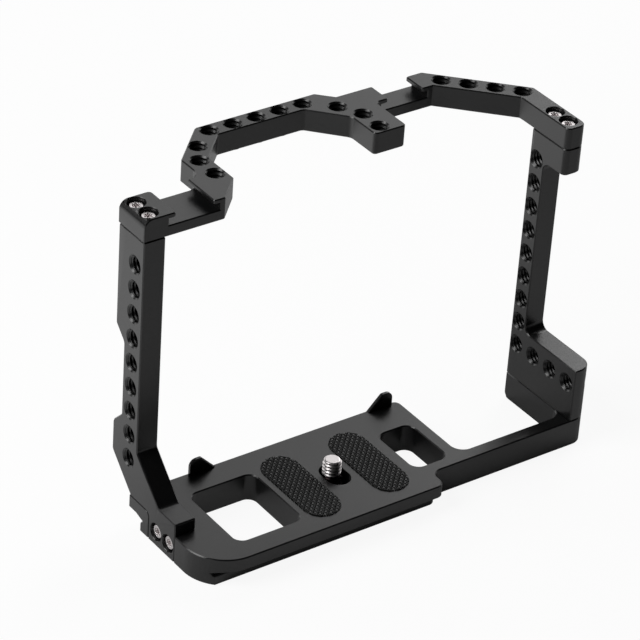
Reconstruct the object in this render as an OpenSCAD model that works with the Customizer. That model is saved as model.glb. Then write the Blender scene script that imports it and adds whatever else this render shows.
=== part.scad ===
// Camera cage: a milled base plate, two side posts and a bowed top bridge that bolt together
// into a frame round a camera body, with a captive tripod screw that slides in the base.
// Millimetres. +X runs to the right post, +Y to the far side and +Z up. X = 0 is halfway
// between the posts' outer faces, Y = 0 halfway through the depth and Z = 0 the underside.
// Places along X are measured from the left post's outer face, and places along Y from the
// cage's near edge. Each module ends in placed(), which moves them into that frame.

/* [Overall] */
// Width over both posts
cage_w = 159.6; // [158:0.2:166]
// Depth from the near shelf to the bridge's far edge
cage_d = 86; // [85:0.2:90]
// Height from the underside to the top of the bridge
cage_h = 115; // [113:0.5:130]
// Thickness of the posts, the bridge and the cross arm
wall_t = 8; // [7.6:0.1:8.8]

/* [Base plate] */
// Thickness of the base plate
base_t = 10; // [9.6:0.1:11]
// Thickness of the plate's top layer, above the dovetail rail
top_layer_t = 4.9; // [4.6:0.1:5.2]
// Width of the wide plate under the camera
plate_w = 107.9; // [107:0.1:110]
// Far edge of the wide plate
plate_far = 48; // [47.4:0.1:49]
// Width of the shelf that stands ahead of the front arm
shelf_w = 93; // [92:0.1:94]
// How far the shelf stands ahead of the front arm
shelf_d = 7.8; // [7.2:0.1:8.2]
// Width of the front arm that runs across to the right
arm_d = 4.9; // [4.6:0.1:5.4]
// Far end of the cross arm and of the right post
arm_far = 43.2; // [43.2:0.1:43.6]
// Radius of the big near left corner
near_corner_r = 15; // [8:0.5:16]
// Radius of the shelf's right corner
shelf_r = 3; // [1:0.1:3.4]
// Radius inside the step from the shelf to the arm
step_r = 3.5; // [2:0.1:4]
// Radius of the arm's outer corner, and of the right post above it
arm_corner_r = 5.8; // [2:0.1:6]
// Radius inside the corners at both ends of the arm
arm_inner_r = 4.5; // [2:0.1:6]
// Radius of the plate's far right corner
plate_corner_r = 2.5; // [1:0.1:2.5]
// Radius under the far end of the cross arm
arm_end_r = 2.4; // [1:0.1:3]

/* [Windows] */
// Left edge of the large window
window_x = 16.1; // [15.9:0.1:17]
// Width of the large window
window_w = 25.3; // [20:0.1:25.6]
// Near edge of the large window
window_near = 8.1; // [7.6:0.1:9]
// Length of the large window
window_l = 29.5; // [25:0.1:30]
// Radius of both windows' corners
window_r = 3.5; // [1:0.1:4]
// Left edge of the small window
small_window_x = 89.5; // [89:0.1:90]
// Width of the small window
small_window_w = 13.8; // [12:0.1:14]
// Near edge of the small window
small_window_near = 12.3; // [11.6:0.1:13]
// Length of the small window
small_window_l = 22.1; // [18:0.1:23]

/* [Dovetail rail] */
// Width of the rail that a quick release clamp grips
rail_w = 37; // [36.5:0.1:38]
// Middle of the rail's width
rail_y = 22.5; // [22.3:0.1:22.9]
// Height of the rail's upright edge
rail_edge = 2.9; // [2.5:0.1:3.1]
// Depth of the undercut above the edge
rail_undercut = 1.2; // [1:0.1:1.4]
// Width of the slope from the undercut out to the top layer
rail_slope = 3.7; // [3.3:0.1:3.7]

/* [Locating tabs] */
// Outer side of the left tab
left_tab_x = 22.7; // [22:0.1:24]
// Outer side of the right tab
right_tab_x = 104.8; // [104:0.1:105]
// Width of a tab at its foot
tab_w = 10; // [9:0.1:11]
// Width of a tab at its tip
tab_tip = 4.4; // [4.2:0.1:5]
// Height of a tab above the plate
tab_h = 5.6; // [4.5:0.1:7]
// Thickness of a tab
tab_t = 1.7; // [1.4:0.1:2.4]
// Radius of a tab's outer shoulder, and of its inner one
tab_outer_r = 2.6; // [1:0.1:2.8]
tab_inner_r = 1; // [0.5:0.1:1.4]

/* [Pads] */
// Distance between the middles of the two pads
pad_gap = 27.4; // [26.4:0.1:27.8]
// Width of a pad, which has round ends
pad_w = 13.4; // [12:0.1:13.6]
// Length of a pad
pad_l = 36.2; // [34:0.1:37]
// Middle of a pad's length
pad_y = 23.2; // [22.8:0.1:23.6]
// Thickness of a pad
pad_t = 1.3; // [1:0.1:1.6]
// How far a pad stands above the plate
pad_proud = 0.5; // [0.3:0.1:0.7]
// Clearance round a pad in its pocket
pad_fit = 0.1; // [0.05:0.05:0.2]

/* [Camera screw] */
// Middle of the slot, the pads and the tripod screw
screw_x = 64.4; // [64:0.1:64.8]
// Place of the screw, at the slot's far end
screw_y = 25; // [24.6:0.1:25.4]
// How far the screw slides toward the near edge
screw_travel = 3.9; // [3:0.1:5]
// Thread size of the tripod screw, a quarter inch
screw_d = 6.35; // [6.35]
// How far the screw stands above the plate
screw_proud = 5; // [4:0.1:6]
// Width of the slot's upper part
slot_w = 8; // [7.8:0.1:8.4]
// Width of the slot's lower part, between the head and the ring
ledge_w = 6.8; // [6.6:0.1:6.9]
// Diameter of the screw's head
key_head_d = 13; // [12:0.1:13.4]
// Thickness of the screw's head
key_head_t = 2.6; // [2.2:0.1:2.8]
// Radial room round the head in its recess
key_room = 0.3; // [0.2:0.1:0.5]
// Depth of the recess for the head
key_recess = 3.4; // [3.2:0.1:3.6]
// Height of the ledge's top, where the ring rests
ledge_z = 5; // [4.8:0.1:5.4]
// Diameter of the screw's neck inside the ring and the ledge
neck_d = 4.8; // [4.4:0.1:5]
// Running clearance of the neck in the ring
neck_fit = 0.05; // [0.03:0.01:0.08]
// Diameter of the retaining ring
ring_d = 7.4; // [7.2:0.1:7.4]
// Thickness of the retaining ring
ring_t = 0.8; // [0.6:0.1:0.9]
// Width of the opening in the retaining ring
ring_mouth = 3.6; // [3:0.1:4]
// Width and depth of the coin slot across the head
coin_slot = 1.5; // [1.2:0.1:1.8]

/* [Left post] */
// Near face of the left post
left_near = 44.4; // [44:0.1:44.6]
// Far face of the left post
left_far = 58.8; // [58.4:0.1:59.2]
// Far face of the bridge over the left post, which overhangs the post a little
left_bridge_far = 59.5; // [59.2:0.1:59.8]
// Near face of its foot
foot_near = 20.85; // [20.6:0.05:21.2]
// Height of the foot above the plate
foot_h = 4.4; // [4:0.1:5]
// Length of the foot's flat top
foot_flat = 9.8; // [9:0.1:10.4]
// Where the post's far face leaves the plate
heel_far = 47.1; // [46.6:0.1:47.4]
// Height of the waist's bottom and top, above the underside
waist_low = 35.5; // [34:0.5:37]
waist_high = 68; // [66:0.5:70]
// Depth of the waist cut into the far face
waist_d = 4.8; // [4:0.1:5]
// Radius of the posts' bends
bend_r = 2; // [1:0.1:2.4]
// Length of the tongue let into the plate's left side
tongue_l = 15.15; // [14.8:0.05:15.4]
// Thickness of the tongue
tongue_t = 5; // [4.6:0.1:5.4]
// Gap round the tongue in its pocket
joint_gap = 0.05; // [0.03:0.01:0.1]

/* [Right post] */
// Near face of the right post's column
right_near = 35.9; // [35.4:0.1:36.2]
// Near face of the block under the bridge, and of the bridge's right end
right_top_near = 25.3; // [25:0.1:26]
// Height of the block under the bridge
right_top_h = 9.7; // [9.4:0.1:10.6]
// Height of the block on the cross arm
right_low_h = 20.2; // [19.6:0.1:21]
// Radius inside the bends of the right post
right_bend_r = 3; // [1:0.1:4]
// Radius of the near outer corner at the top
top_outer_r = 3; // [1:0.1:3.4]
// Radius of the near inner corner at the top
top_inner_r = 2; // [1:0.1:3]

/* [Threaded holes] */
// Thread size of the accessory holes, a quarter inch
thread_d = 6.35; // [6.35]
// Clearance of a bore over its thread size
thread_fit = 0.05; // [0.03:0.01:0.1]
// Diameter of the countersunk rims
rim_d = 6.8; // [6.6:0.05:7]
// Distance from hole to hole
hole_pitch = 9.15; // [9:0.05:9.2]
// Number of holes in the row at the right post's foot, beside the column
foot_holes = 3; // [0:1:3]
// Height of the lowest hole of each post above the plate
hole_rise = 13.6; // [13.4:0.1:14]
// Least room between the top hole and the bridge
hole_room = 9.8; // [8:0.1:10]
// Column of holes in the left post
left_hole_y = 49.25; // [49:0.05:49.5]
// Column of holes in the right post
right_hole_y = 39.7; // [39.4:0.1:39.8]

/* [Bridge] */
// Length of the block on the left post
block_l = 11.6; // [11.2:0.1:11.8]
// Radius along the block's top outer edge
block_top_r = 3.1; // [1:0.1:3.2]
// Radius of the block's far corner beside the first cold shoe
block_far_r = 1.6; // [0.8:0.1:2]
// Opening between the lips of a cold shoe
shoe_open = 14; // [13:0.1:14.2]
// Width of a cold shoe under its lips
shoe_w = 19; // [18.6:0.1:19.2]
// Thickness of a cold shoe's floor
shoe_floor = 3.9; // [3.6:0.1:4.1]
// Height inside a cold shoe, under its lips
shoe_gap = 2.4; // [2.1:0.1:2.5]
// Radius of the lips' corners
lip_r = 0.8; // [0.4:0.1:1]
// Middle of the second cold shoe, from the right post's outer face
second_shoe_in = 40.4; // [40:0.1:40.6]
// Near edge of the second cold shoe
second_shoe_near = 71.4; // [71:0.1:71.8]
// Far edge of the second cold shoe
second_shoe_far = 80.8; // [80.4:0.1:81]
// Outer side of the left leg
leg_x = 30.3; // [30:0.1:30.6]
// Width of the left leg
leg_w = 8.6; // [8.4:0.1:8.8]
// Where the leg's inner side bends toward the arm
leg_bend_y = 67.9; // [67.7:0.1:68]
// Reach of the 45 degree corner outside the leg
leg_corner = 15.2; // [15:0.1:15.4]
// Depth of the bridge's long arm
bridge_arm_d = 7.2; // [7:0.1:7.4]
// Radius in the notch beside the first cold shoe
notch_r = 4.5; // [3:0.1:4.5]
// Left side of the stub, from the right post's outer face
stub_in = 65.2; // [64.8:0.1:65.6]
// Reach of the turn between the arm's inner side and the stub, along X
stub_turn = 11.1; // [10.6:0.1:11.4]
// Width of the stub
stub_w = 12.7; // [12.4:0.1:13]
// Near end of the stub
stub_near = 54.1; // [53.6:0.1:54.4]
// Where the stub's left side meets the turn
stub_bend_y = 67; // [66.6:0.1:67.4]
// Radius of the stub's corners
stub_r = 1.5; // [0.5:0.1:2]
// Right end of the arm's far edge, left of the stub's left side
arm_end_in = 2; // [1.8:0.1:2.4]
// Reach of the 45 degree corner behind the right post
right_corner = 27; // [26.6:0.1:27.4]
// Holes in the left leg, and in the stub from its left side
leg_hole_x = 35.2; // [35:0.1:35.4]
leg_hole_y = 58.5; // [58.2:0.1:58.8]
stub_hole_in = 4.4; // [4.2:0.1:4.8]
stub_hole_y = 57.95; // [57.7:0.05:58.2]
// First hole of the long arm
arm_hole_x = 48.6; // [48.4:0.1:48.8]
// How far the arm's last hole may lie past the turn of its inner side
arm_overrun = 2.4; // [2:0.1:4]
// Distance of the arm's holes from the far edge
arm_hole_in = 3.6; // [3.5:0.1:3.7]
// First hole of the right arm from the right post's outer face, and its distance from the far edge
right_hole_left = 24.4; // [24:0.1:24.6]
right_hole_in = 3.65; // [3.5:0.05:4]
// Number of holes in the right arm
right_holes = 4; // [1:1:4]

/* [Assembly screws] */
// Diameter of an assembly screw's shank
shank_d = 3; // [2.5:0.1:3]
// Diameter of its head
head_d = 5.5; // [5:0.1:5.6]
// Height of its head
head_h = 2; // [1.6:0.1:2.1]
// How deep a head sits below the surface of the bridge, and of the foot
head_sink = 1.2; // [1:0.1:1.4]
foot_sink = 0.7; // [0.5:0.1:1]
// Radial room round a head and round a shank where it passes through
clear_fit = 0.2; // [0.1:0.05:0.25]
// Radial room of a shank in its threaded hole
tap_fit = 0.05; // [0.03:0.01:0.08]
// How far a threaded hole runs past the end of its screw
tap_depth = 0.5; // [0.3:0.1:1]
// Diameter of the chamfered rim round a head
head_rim = 6.7; // [6.5:0.1:7]
// Distance between the two screws of a pair
pair_pitch = 7; // [6.6:0.1:7.2]
// Length of a screw in the bridge and in the foot
screw_l = 10; // [9:0.5:10]
// Middle of the pair on the left of the bridge
left_pair_y = 52.2; // [51.8:0.1:52.6]
// Middle of the pair on the right of the bridge
right_pair_y = 33.9; // [33.5:0.1:34.3]
// Middle of the pair in the foot, and its height
foot_pair_y = 28.2; // [27.8:0.1:28.6]
foot_pair_z = 4.9; // [4.7:0.1:5.1]
// Length of a screw in the cross arm
base_screw_l = 14; // [12:0.5:14]
// Places of the two screws in the cross arm
base_screw_near = 16.5; // [15:0.5:18]
base_screw_far = 36.5; // [34:0.5:37]
// Depth of the six-lobe socket
socket_h = 1.1; // [0.8:0.1:1.3]
// Reach of the socket's lobes from the middle
socket_r = 1.4; // [1.2:0.1:1.5]
// Radius of a lobe's round end
lobe_r = 0.35; // [0.3:0.05:0.4]

/* [Hidden] */
$fn = 32;
bore_r = thread_d / 2 + thread_fit;
over = 1; // how far a cutter runs past the face it opens
right_in = cage_w - wall_t; // inner face of the right post
bridge_z = cage_h - wall_t; // top of the posts
layer_z = base_t - top_layer_t; // underside of the plate's top layer
arm_far_edge = shelf_d + arm_d;
rail_near = rail_y - rail_w / 2;
rail_far = rail_y + rail_w / 2;
neck_z = rail_edge + rail_undercut;
pocket_z = base_t + pad_proud - pad_t;
row_z = base_t + hole_rise;
column_holes = 1 + floor((bridge_z - hole_room - row_z) / hole_pitch);
post_mid = wall_t / 2;
shoe_z = bridge_z + shoe_floor;
first_shoe_x = block_l + shoe_open / 2;
second_shoe_x = cage_w - second_shoe_in;
stub_x = cage_w - stub_in;
stub_bend_x = stub_x - stub_turn;
arm_holes = 1 + floor((stub_bend_x + arm_overrun - arm_hole_x) / hole_pitch);
diagonal_in = wall_t * sqrt(2); // a wall's thickness, measured along X across a 45 degree run
tip_chamfer = 0.75;
small_r = 0.6;
body_black = [0.09, 0.09, 0.095];
pad_black = [0.04, 0.04, 0.04];
steel = [0.78, 0.78, 0.78];

function unit(v) = v / norm(v);
function turn(p, v, n) = cross(v - p, n - v);
function half_angle(p, v, n) = acos(unit(p - v) * unit(n - v)) / 2;
function cut_at(v, to, r, half) = v + unit(to - v) * r / tan(half);
function before(points, i) = points[(i + len(points) - 1) % len(points)];
function after(points, i) = points[(i + 1) % len(points)];

// The lens or the sliver between a corner's chord and its arc
module corner_arc(p, v, n, r) {
  half = half_angle(p, v, n);
  centre = v + unit(unit(p - v) + unit(n - v)) * r / sin(half);
  intersection() {
    translate(centre) circle(r = r);
    polygon([cut_at(v, p, r, half), v, cut_at(v, n, r, half)]);
  }
}

// An outline, counterclockwise, whose corners are rounded with true arcs: [x, y, radius]
module rounded(corners) {
  points = [for (c = corners) [c[0], c[1]]];
  last = len(points) - 1;
  chords = [for (i = [0:last])
    let (r = corners[i][2], p = before(points, i), n = after(points, i), v = points[i])
    each r > 0 ? [cut_at(v, p, r, half_angle(p, v, n)), cut_at(v, n, r, half_angle(p, v, n))] : [v]];
  difference() {
    union() {
      polygon(chords);
      for (i = [0:last]) if (corners[i][2] > 0 && turn(before(points, i), points[i], after(points, i)) > 0)
        corner_arc(before(points, i), points[i], after(points, i), corners[i][2]);
    }
    for (i = [0:last]) if (corners[i][2] > 0 && turn(before(points, i), points[i], after(points, i)) < 0)
      corner_arc(before(points, i), points[i], after(points, i), corners[i][2]);
  }
}

// Moves a part from its own measures into the shared frame
module placed() {
  translate([-cage_w / 2, -cage_d / 2, 0]) children();
}

// Extrudes an outline drawn in Y and Z along X
module along_x(x, length) {
  translate([x, 0, 0]) rotate([90, 0, 90]) linear_extrude(length) children();
}

// Extrudes an outline drawn in X and Z along Y
module along_y(y, length) {
  translate([0, y + length, 0]) rotate([90, 0, 0]) linear_extrude(length) children();
}

// A slot with round ends along Y, between two centres
module slot_2d(x, near, far, width) {
  translate([x - width / 2, near]) square([width, far - near]);
  for (y = [near, far]) translate([x, y]) circle(d = width);
}

// The cutter of a threaded hole with both rims countersunk, from z = 0 up to the given depth
module threaded_bore(depth) {
  rim = rim_d / 2 - bore_r;
  translate([0, 0, -over]) cylinder(h = depth + 2 * over, r = bore_r);
  for (side = [0, 1]) translate([0, 0, side * depth]) mirror([0, 0, side])
    translate([0, 0, -rim]) cylinder(h = 2 * rim, r1 = bore_r + 2 * rim, r2 = bore_r);
}

// The same cutter through a post's thickness, along X
module post_bore(x, y, z) {
  translate([x, y, z]) rotate([0, 90, 0]) threaded_bore(wall_t);
}

// An assembly screw: z = 0 is the surface it is sunk in, and the shank points to -Z
module cap_screw(length, sink) {
  seat_z = sink + head_h;
  color(steel) difference() {
    union() {
      translate([0, 0, -seat_z]) cylinder(h = head_h, d = head_d);
      translate([0, 0, -seat_z - length]) cylinder(h = length + over / 2, d = shank_d);
    }
    translate([0, 0, -sink - socket_h]) linear_extrude(socket_h + over) six_lobe_2d();
  }
}

module six_lobe_2d() {
  circle(r = socket_r - lobe_r);
  for (a = [0:60:300]) rotate(a) translate([socket_r - lobe_r, 0]) circle(r = lobe_r, $fn = 16);
}

// The seat and the clearance hole of an assembly screw through a part of the given thickness
module screw_seat(thickness, sink) {
  seat_z = sink + head_h;
  rim = (head_rim - head_d) / 2 - clear_fit;
  translate([0, 0, -seat_z]) cylinder(h = seat_z + over, d = head_d + 2 * clear_fit);
  translate([0, 0, -thickness - over]) cylinder(h = thickness, d = shank_d + 2 * clear_fit);
  translate([0, 0, -rim]) cylinder(h = 2 * rim, d1 = head_rim - 2 * rim, d2 = head_rim + 2 * rim);
}

// The threaded hole that takes the shank, a little deeper than the screw is long
module screw_tap(length, sink) {
  translate([0, 0, -sink - head_h - length - tap_depth]) cylinder(h = length, d = shank_d + 2 * tap_fit);
}

// Where the assembly screws are
module on_bridge(x, y) {
  translate([x, y, cage_h]) children();
}

module at_left_pair(side) {
  on_bridge(post_mid, left_pair_y + side * pair_pitch / 2) children();
}

module at_right_pair(side) {
  on_bridge(cage_w - post_mid, right_pair_y + side * pair_pitch / 2) children();
}

module at_foot_pair(side) {
  translate([0, foot_pair_y + side * pair_pitch / 2, foot_pair_z]) rotate([0, -90, 0]) children();
}

module at_base_screw(y) {
  translate([cage_w - post_mid, y, 0]) rotate([180, 0, 0]) children();
}

module plate_2d() {
  rounded([
    [0, 0, near_corner_r],
    [shelf_w, 0, shelf_r],
    [shelf_w, shelf_d, step_r],
    [cage_w, shelf_d, arm_corner_r],
    [cage_w, arm_far, 0],
    [right_in, arm_far, 0],
    [right_in, arm_far_edge, arm_inner_r],
    [plate_w, arm_far_edge, arm_inner_r],
    [plate_w, plate_far, plate_corner_r],
    [0, plate_far, small_r]
  ]);
}

// The grooves on both sides of the rail, drawn in Y and Z
module near_groove_2d() {
  neck = rail_near + rail_undercut;
  polygon([[-over, -over], [rail_near, -over], [rail_near, rail_edge], [neck, neck_z],
    [neck - rail_slope, layer_z], [-over, layer_z]]);
}

module far_groove_2d() {
  neck = rail_far - rail_undercut;
  edge = plate_far + over;
  polygon([[rail_far, -over], [edge, -over], [edge, layer_z], [neck + rail_slope, layer_z],
    [neck, neck_z], [rail_far, rail_edge]]);
}

// The rail's near corner, rounded like the shelf's corner above it
module rail_corner() {
  translate([0, 0, -over]) linear_extrude(neck_z + over) difference() {
    translate([shelf_w - shelf_r, rail_near - over]) square([shelf_r + over, shelf_r + over]);
    translate([shelf_w - shelf_r, rail_near + shelf_r]) circle(r = shelf_r);
    translate([shelf_w - shelf_r - over, rail_near + shelf_r]) square(shelf_r + 3 * over);
  }
}

// A locating tab: upright on its outer side and sloping toward the middle
module tab(x, side) {
  translate([x, 0, 0]) mirror([side < 0 ? 1 : 0, 0, 0]) along_y(plate_far - tab_t, tab_t)
    rounded([
      [0, layer_z, 0],
      [tab_w, layer_z, 0],
      [tab_w, base_t, 0],
      [tab_tip, base_t + tab_h, tab_inner_r],
      [0, base_t + tab_h, tab_outer_r]
    ]);
}

// The tongue under the left post's foot, drawn in Y and Z: it flares into the post's underside
module tongue_2d(gap) {
  rounded([
    [foot_near - gap, -over, 0],
    [foot_near + tongue_l + gap, -over, 0],
    [foot_near + tongue_l + gap, base_t, bend_r - gap],
    [foot_near + tongue_l + bend_r + over, base_t, 0],
    [foot_near + tongue_l + bend_r + over, base_t + over, 0],
    [foot_near - gap, base_t + over, 0]
  ]);
}

module base_plate() {
  color(body_black) placed() difference() {
    union() {
      linear_extrude(base_t) plate_2d();
      tab(left_tab_x, 1);
      tab(right_tab_x, -1);
    }
    along_x(-over, shelf_w + 2 * over) near_groove_2d();
    along_x(-over, plate_w + 2 * over) far_groove_2d();
    rail_corner();
    arm_underside();
    window(window_x, window_near, window_w, window_l);
    window(small_window_x, small_window_near, small_window_w, small_window_l);
    screw_slot();
    for (side = [-1, 1]) pad_shape(side, pocket_z, pad_t + over, pad_fit);
    along_x(-over, over + tongue_t + joint_gap) tongue_2d(joint_gap);
    for (side = [-1, 1]) at_foot_pair(side) screw_tap(screw_l, foot_sink);
    for (y = [base_screw_near, base_screw_far]) at_base_screw(y) screw_seat(base_t, head_sink);
  }
}

// The rounded edge under the cross arm's far end
module arm_underside() {
  along_x(right_in - over, wall_t + 2 * over) difference() {
    translate([arm_far - arm_end_r, -over]) square([arm_end_r + over, arm_end_r + over]);
    translate([arm_far - arm_end_r, arm_end_r]) circle(r = arm_end_r);
    translate([arm_far - arm_end_r - over, arm_end_r]) square(arm_end_r + 3 * over);
  }
}

module window(x, near, width, length) {
  translate([0, 0, -over]) linear_extrude(base_t + 2 * over) rounded([
    [x, near, window_r],
    [x + width, near, window_r],
    [x + width, near + length, window_r],
    [x, near + length, window_r]
  ]);
}

// The stepped slot: the head's recess below, the ledge, and the ring's channel above
module screw_slot() {
  near = screw_y - screw_travel;
  translate([0, 0, -over]) linear_extrude(key_recess + over)
    slot_2d(screw_x, near, screw_y, key_head_d + 2 * key_room);
  linear_extrude(base_t + over) slot_2d(screw_x, near, screw_y, ledge_w);
  translate([0, 0, ledge_z]) linear_extrude(base_t) slot_2d(screw_x, near, screw_y, slot_w);
}

module pad_shape(side, z, height, gap) {
  reach = (pad_l - pad_w) / 2;
  translate([0, 0, z]) linear_extrude(height)
    slot_2d(screw_x + side * pad_gap / 2, pad_y - reach, pad_y + reach, pad_w + 2 * gap);
}

module left_pad() {
  color(pad_black) placed() pad_shape(-1, pocket_z, pad_t, 0);
}

module right_pad() {
  color(pad_black) placed() pad_shape(1, pocket_z, pad_t, 0);
}

// The tripod screw: head, neck with the ring's groove, and the quarter inch shank
module camera_screw() {
  head_z = key_recess - key_head_t;
  shank_z = ledge_z + ring_t + neck_fit;
  tip_z = base_t + screw_proud;
  color(steel) placed() translate([screw_x, screw_y, 0]) difference() {
    union() {
      translate([0, 0, head_z]) cylinder(h = key_head_t - neck_fit, d = key_head_d);
      translate([0, 0, head_z]) cylinder(h = shank_z - head_z + over, d = neck_d);
      translate([0, 0, shank_z]) cylinder(h = tip_z - tip_chamfer - shank_z, d = screw_d);
      translate([0, 0, tip_z - tip_chamfer])
        cylinder(h = tip_chamfer, d1 = screw_d, d2 = screw_d - 2 * tip_chamfer);
    }
    translate([-key_head_d / 2 - over, -coin_slot / 2, head_z - over])
      cube([key_head_d + 2 * over, coin_slot, coin_slot + over]);
  }
}

// The open ring that keeps the tripod screw in its slot and slides along with it
module retaining_ring() {
  color(steel) placed() translate([screw_x, screw_y, ledge_z]) linear_extrude(ring_t) difference() {
    circle(d = ring_d);
    circle(d = neck_d + 2 * neck_fit);
    translate([-ring_mouth / 2, 0]) square([ring_mouth, ring_d]);
  }
}

// The left post from the side: foot, 45 degree shin, waist and upright, drawn in Y and Z
module left_post_2d() {
  rise = left_near - foot_near - foot_flat;
  foot_z = base_t + foot_h;
  rounded([
    [foot_near, base_t, 0],
    [heel_far, base_t, 0],
    [left_far, base_t + left_far - heel_far, bend_r],
    [left_far, waist_low - waist_d / 2, bend_r],
    [left_far - waist_d, waist_low + waist_d / 2, bend_r],
    [left_far - waist_d, waist_high - waist_d / 2, bend_r],
    [left_far, waist_high + waist_d / 2, bend_r],
    [left_far, bridge_z, 0],
    [left_near, bridge_z, 0],
    [left_near, foot_z + rise, bend_r],
    [foot_near + foot_flat, foot_z, bend_r],
    [foot_near, foot_z, small_r]
  ]);
}

module left_post() {
  color(body_black) placed() difference() {
    union() {
      along_x(0, wall_t) left_post_2d();
      intersection() {
        along_x(0, tongue_t) tongue_2d(0);
        cube([wall_t, cage_d, base_t + over]);
      }
    }
    for (i = [0:column_holes - 1]) post_bore(0, left_hole_y, row_z + i * hole_pitch);
    for (side = [-1, 1]) at_left_pair(side) screw_tap(screw_l, head_sink);
    for (side = [-1, 1]) at_foot_pair(side) screw_seat(tongue_t, foot_sink);
  }
}

// The right post from the side: two blocks on one column, drawn in Y and Z
module right_post_2d() {
  low_z = base_t + right_low_h;
  high_z = bridge_z - right_top_h;
  rounded([
    [shelf_d, base_t, 0],
    [arm_far, base_t, 0],
    [arm_far, bridge_z, 0],
    [right_top_near, bridge_z, 0],
    [right_top_near, high_z, 0],
    [right_near, high_z, right_bend_r],
    [right_near, low_z, right_bend_r],
    [shelf_d, low_z, 0]
  ]);
}

// The right post from above, from a near face with its two corner radii
module right_post_plan(near, inner_r, outer_r) {
  rounded([
    [right_in, near, inner_r],
    [cage_w, near, outer_r],
    [cage_w, arm_far, 0],
    [right_in, arm_far, 0]
  ]);
}

module right_post() {
  split_z = cage_h / 2;
  color(body_black) placed() difference() {
    intersection() {
      along_x(right_in - over, wall_t + 2 * over) right_post_2d();
      union() {
        linear_extrude(split_z) right_post_plan(shelf_d, 0, arm_corner_r);
        translate([0, 0, split_z]) linear_extrude(split_z)
          right_post_plan(right_top_near, top_inner_r, top_outer_r);
      }
    }
    for (i = [0:column_holes - 1]) post_bore(right_in, right_hole_y, row_z + i * hole_pitch);
    if (foot_holes > 0) for (i = [1:foot_holes]) post_bore(right_in, right_hole_y - i * hole_pitch, row_z);
    for (side = [-1, 1]) at_right_pair(side) screw_tap(screw_l, head_sink);
    for (y = [base_screw_near, base_screw_far]) at_base_screw(y) screw_tap(base_screw_l, head_sink);
  }
}

// The bridge's block over the left post, left of the first cold shoe
module left_block_2d() {
  rounded([
    [0, left_near, small_r],
    [block_l, left_near, lip_r],
    [block_l, left_bridge_far, block_far_r],
    [0, left_bridge_far, small_r]
  ]);
}

// The leg, the long arm and the stub, from the first cold shoe to the second
module bridge_middle_2d() {
  shoe_x = block_l + shoe_open;
  shoe_right = second_shoe_x - shoe_open / 2;
  inner_x = leg_x + leg_w;
  arm_y = cage_d - bridge_arm_d;
  near_x = inner_x - (left_far - left_near) / 2 - over;
  far_drop = cage_d - second_shoe_far;
  rounded([
    [shoe_x, left_near, lip_r],
    [near_x - over, left_near, small_r],
    [inner_x, left_near + inner_x - near_x + over, small_r],
    [inner_x, leg_bend_y, bend_r],
    [inner_x + arm_y - leg_bend_y, arm_y, bend_r],
    [stub_bend_x, arm_y, bend_r],
    [stub_x, stub_bend_y, right_bend_r],
    [stub_x, stub_near, stub_r],
    [stub_x + stub_w, stub_near, stub_r],
    [stub_x + stub_w, second_shoe_near, bend_r],
    [shoe_right, second_shoe_near, lip_r],
    [shoe_right, second_shoe_far, lip_r],
    [stub_x - arm_end_in + far_drop, second_shoe_far, small_r],
    [stub_x - arm_end_in, cage_d, stub_r],
    [leg_x + leg_corner, cage_d, stub_r],
    [leg_x, cage_d - leg_corner, stub_r],
    [leg_x, left_bridge_far, notch_r],
    [shoe_x, left_bridge_far, 0]
  ]);
}

// The right arm, from the second cold shoe round to the right post
module bridge_right_2d() {
  shoe_x = second_shoe_x + shoe_open / 2;
  corner_sum = cage_w + second_shoe_far - right_corner; // X plus Y along the far 45 degree edge
  inner_sum = corner_sum - diagonal_in;
  rounded([
    [shoe_x, second_shoe_near, lip_r],
    [inner_sum - second_shoe_near, second_shoe_near, small_r],
    [right_in, inner_sum - right_in, small_r],
    [right_in, right_top_near, top_inner_r],
    [cage_w, right_top_near, top_outer_r],
    [cage_w, corner_sum - cage_w, stub_r],
    [cage_w - right_corner, second_shoe_far, stub_r],
    [shoe_x, second_shoe_far, lip_r]
  ]);
}

// A cold shoe's floor, and the channel under its lips, from one face to the other
module shoe_base(x, near, far) {
  translate([x - shoe_w / 2, near, bridge_z]) cube([shoe_w, far - near, shoe_floor]);
}

module shoe_channel(x, near, far) {
  translate([x - shoe_w / 2, near, shoe_z]) cube([shoe_w, far - near, shoe_gap]);
}

module top_bridge() {
  color(body_black) placed() difference() {
    union() {
      intersection() {
        translate([0, 0, bridge_z]) linear_extrude(wall_t) left_block_2d();
        along_y(0, cage_d) rounded([
          [0, bridge_z, 0],
          [block_l, bridge_z, 0],
          [block_l, cage_h, 0],
          [0, cage_h, block_top_r]
        ]);
      }
      translate([0, 0, bridge_z]) linear_extrude(wall_t) bridge_middle_2d();
      translate([0, 0, bridge_z]) linear_extrude(wall_t) bridge_right_2d();
      shoe_base(first_shoe_x, left_near, left_bridge_far);
      shoe_base(second_shoe_x, second_shoe_near, second_shoe_far);
    }
    shoe_channel(first_shoe_x, left_near - over, left_bridge_far + notch_r);
    shoe_channel(second_shoe_x, second_shoe_near - over, second_shoe_far + over);
    bridge_holes();
    for (side = [-1, 1]) at_left_pair(side) screw_seat(wall_t, head_sink);
    for (side = [-1, 1]) at_right_pair(side) screw_seat(wall_t, head_sink);
  }
}

module bridge_bore(x, y) {
  translate([x, y, bridge_z]) threaded_bore(wall_t);
}

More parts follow.
